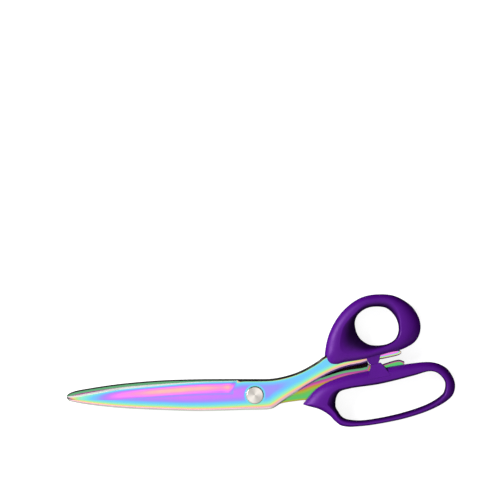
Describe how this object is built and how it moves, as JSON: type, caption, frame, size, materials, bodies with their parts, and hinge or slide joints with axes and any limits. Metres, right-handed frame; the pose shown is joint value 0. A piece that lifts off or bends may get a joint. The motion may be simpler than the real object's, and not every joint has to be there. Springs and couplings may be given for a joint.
{
  "type": "tailor's shears",
  "caption": "Large tailor's shears with iridescent coated steel leaves, a round tension pivot and moulded bows, one with a round thumb hole and one with a long finger loop.",
  "frame": {"origin": "where the pivot axis meets the plane that the shears lie on, at the centre of the pivot screw's flat rear end", "axes": "+X from the pivot to the bows along the blades, +Y from the finger bow to the thumb bow, +Z along the pivot axis from the nut to the screw head"},
  "size_m": [0.2542, 0.0869, 0.0153],
  "materials": {
    "coated_steel": "thin iridescent oxide coating from grey-green through yellow and blue to violet and magenta, satin",
    "handle_plastic": "satin moulded deep purple plastic",
    "turned_steel": "bare turned steel with a fine spun finish",
    "washer_steel": "bare rolled steel"
  },
  "bodies": {
    "finger_half": {"rear_blade": "coated_steel", "finger_handle": "handle_plastic", "slip_washer": "washer_steel", "spring_washer": "washer_steel"},
    "thumb_half": {"front_blade": "coated_steel", "thumb_handle": "handle_plastic", "pivot_screw": "turned_steel", "head_washer": "washer_steel"},
    "nut": {"tension_nut": "turned_steel"}
  },
  "joints": [
    {"name": "pivot", "type": "hinge", "parent": "finger_half", "child": "thumb_half", "pos_m": [0, 0, 0.0077], "axis": [0, 0, 1], "range_deg": [0, 80]},
    {"name": "nut_turn", "type": "hinge", "parent": "thumb_half", "child": "nut", "pos_m": [0, 0, 0.0011], "axis": [0, 0, 1], "range_deg": [-45, 45]}
  ]
}
